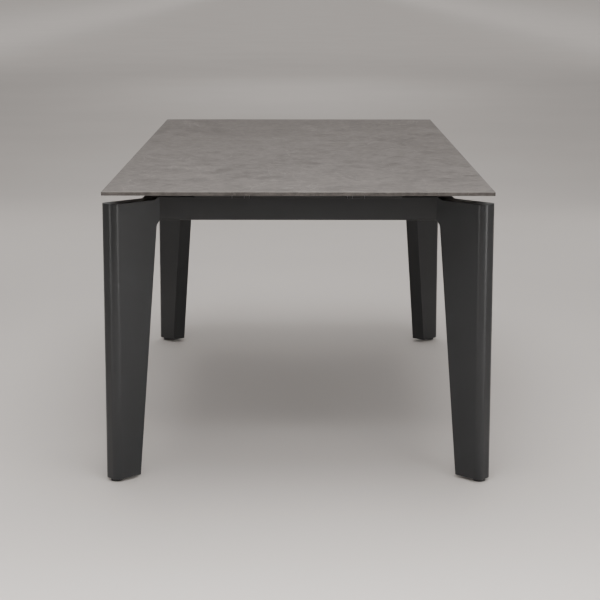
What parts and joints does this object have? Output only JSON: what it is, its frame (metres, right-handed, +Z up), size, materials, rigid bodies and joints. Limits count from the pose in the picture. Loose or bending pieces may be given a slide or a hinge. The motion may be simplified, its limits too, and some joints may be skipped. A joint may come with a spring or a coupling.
{
  "type": "extendable dining table",
  "caption": "Long dining table with a stone top, tapered plate legs set at 45 degrees and draw leaves that slide out and tip level at both ends.",
  "frame": {"origin": "on the floor, under the middle of the table", "axes": "+Z up, +Y along the table's length, +X across it"},
  "size_m": [0.9854, 2.2, 0.77],
  "materials": {
    "stone_slab": "matte",
    "backing_sheet": "satin",
    "anthracite_coat": "satin",
    "inner_frame_coat": "matte",
    "black_steel": "satin",
    "zinc_steel": "satin",
    "black_nylon": "matte",
    "pale_nylon": "matte",
    "lever_enamel": "satin"
  },
  "bodies": {
    "frame": {"corner_block_front_left": "anthracite_coat", "corner_block_front_right": "anthracite_coat", "corner_block_rear_left": "anthracite_coat", "corner_block_rear_right": "anthracite_coat", "cross_beam_front": "inner_frame_coat", "cross_beam_rear": "inner_frame_coat", "end_rail_front": "anthracite_coat", "end_rail_rear": "anthracite_coat", "leg_bolts": "zinc_steel", "leg_end_plug_front_left": "black_nylon", "leg_end_plug_front_right": "black_nylon", "leg_end_plug_rear_left": "black_nylon", "leg_end_plug_rear_right": "black_nylon", "leg_front_left": "anthracite_coat", "leg_front_right": "anthracite_coat", "leg_inserts": "zinc_steel", "leg_rear_left": "anthracite_coat", "leg_rear_right": "anthracite_coat", "rail_glides": "pale_nylon", "runner_guides_front": "pale_nylon", "runner_guides_rear": "pale_nylon", "side_rail_left": "anthracite_coat", "side_rail_right": "anthracite_coat", "tabletop": "stone_slab", "top_backing_plate": "backing_sheet", "top_support_centre": "inner_frame_coat", "top_support_left": "inner_frame_coat", "top_support_right": "inner_frame_coat"},
    "front_carriage": {"runner_front_left": "black_steel", "runner_front_right": "black_steel", "crossbar_front": "black_steel", "hinge_pins_front": "zinc_steel", "stop_pins_front": "zinc_steel", "cam_bearings_front": "black_steel"},
    "front_leaf": {"leaf_front": "stone_slab", "leaf_knuckles_front": "black_steel"},
    "front_cam": {"cam_shaft_front": "zinc_steel", "cam_lever_front": "lever_enamel"},
    "rear_carriage": {"runner_rear_left": "black_steel", "runner_rear_right": "black_steel", "crossbar_rear": "black_steel", "hinge_pins_rear": "zinc_steel", "stop_pins_rear": "zinc_steel", "cam_bearings_rear": "black_steel"},
    "rear_leaf": {"leaf_rear": "stone_slab", "leaf_knuckles_rear": "black_steel"},
    "rear_cam": {"cam_shaft_rear": "zinc_steel", "cam_lever_rear": "lever_enamel"},
    "front_left_foot": {"foot_pad_front_left": "black_nylon"},
    "front_left_stem": {"foot_stem_front_left": "zinc_steel"},
    "front_right_foot": {"foot_pad_front_right": "black_nylon"},
    "front_right_stem": {"foot_stem_front_right": "zinc_steel"},
    "rear_left_foot": {"foot_pad_rear_left": "black_nylon"},
    "rear_left_stem": {"foot_stem_rear_left": "zinc_steel"},
    "rear_right_foot": {"foot_pad_rear_right": "black_nylon"},
    "rear_right_stem": {"foot_stem_rear_right": "zinc_steel"}
  },
  "joints": [
    {"name": "front_leaf_slide", "type": "slide", "parent": "frame", "child": "front_carriage", "axis": [0, -0.9997, 0.0246], "range_m": [0, 0.63119]},
    {"name": "front_leaf_tilt", "type": "hinge", "parent": "front_carriage", "child": "front_leaf", "pos_m": [0, -0.941, 0.73847], "axis": [1, 0, 0], "range_deg": [0, 1.41]},
    {"name": "front_cam_turn", "type": "hinge", "parent": "front_carriage", "child": "front_cam", "pos_m": [0, -0.50513, 0.72774], "axis": [1, 0, 0], "range_deg": [0, 90]},
    {"name": "rear_leaf_slide", "type": "slide", "parent": "frame", "child": "rear_carriage", "axis": [0, 0.9997, 0.0246], "range_m": [0, 0.63119]},
    {"name": "rear_leaf_tilt", "type": "hinge", "parent": "rear_carriage", "child": "rear_leaf", "pos_m": [0, 0.941, 0.73847], "axis": [-1, 0, 0], "range_deg": [0, 1.41]},
    {"name": "rear_cam_turn", "type": "hinge", "parent": "rear_carriage", "child": "rear_cam", "pos_m": [0, 0.50513, 0.72774], "axis": [-1, 0, 0], "range_deg": [0, 90]},
    {"name": "front_left_foot_height", "type": "slide", "parent": "frame", "child": "front_left_foot", "axis": [0, 0, -1], "range_m": [0, 0.01]},
    {"name": "front_left_stem_turn", "type": "hinge", "parent": "front_left_foot", "child": "front_left_stem", "pos_m": [-0.46733, -0.91503, 0.02], "axis": [0, 0, -1], "range_deg": [0, 2400]},
    {"name": "front_right_foot_height", "type": "slide", "parent": "frame", "child": "front_right_foot", "axis": [0, 0, -1], "range_m": [0, 0.01]},
    {"name": "front_right_stem_turn", "type": "hinge", "parent": "front_right_foot", "child": "front_right_stem", "pos_m": [0.46733, -0.91503, 0.02], "axis": [0, 0, -1], "range_deg": [0, 2400]},
    {"name": "rear_left_foot_height", "type": "slide", "parent": "frame", "child": "rear_left_foot", "axis": [0, 0, -1], "range_m": [0, 0.01]},
    {"name": "rear_left_stem_turn", "type": "hinge", "parent": "rear_left_foot", "child": "rear_left_stem", "pos_m": [-0.46733, 0.91503, 0.02], "axis": [0, 0, -1], "range_deg": [0, 2400]},
    {"name": "rear_right_foot_height", "type": "slide", "parent": "frame", "child": "rear_right_foot", "axis": [0, 0, -1], "range_m": [0, 0.01]},
    {"name": "rear_right_stem_turn", "type": "hinge", "parent": "rear_right_foot", "child": "rear_right_stem", "pos_m": [0.46733, 0.91503, 0.02], "axis": [0, 0, -1], "range_deg": [0, 2400]}
  ],
  "couplings": [
    {"joint": "front_cam_turn", "follows": "front_leaf_tilt", "ratio": 63.83},
    {"joint": "rear_cam_turn", "follows": "rear_leaf_tilt", "ratio": 63.83},
    {"joint": "front_left_stem_turn", "follows": "front_left_foot_height", "rad_per_m": 4188.8},
    {"joint": "front_right_stem_turn", "follows": "front_right_foot_height", "rad_per_m": 4188.8},
    {"joint": "rear_left_stem_turn", "follows": "rear_left_foot_height", "rad_per_m": 4188.8},
    {"joint": "rear_right_stem_turn", "follows": "rear_right_foot_height", "rad_per_m": 4188.8}
  ]
}
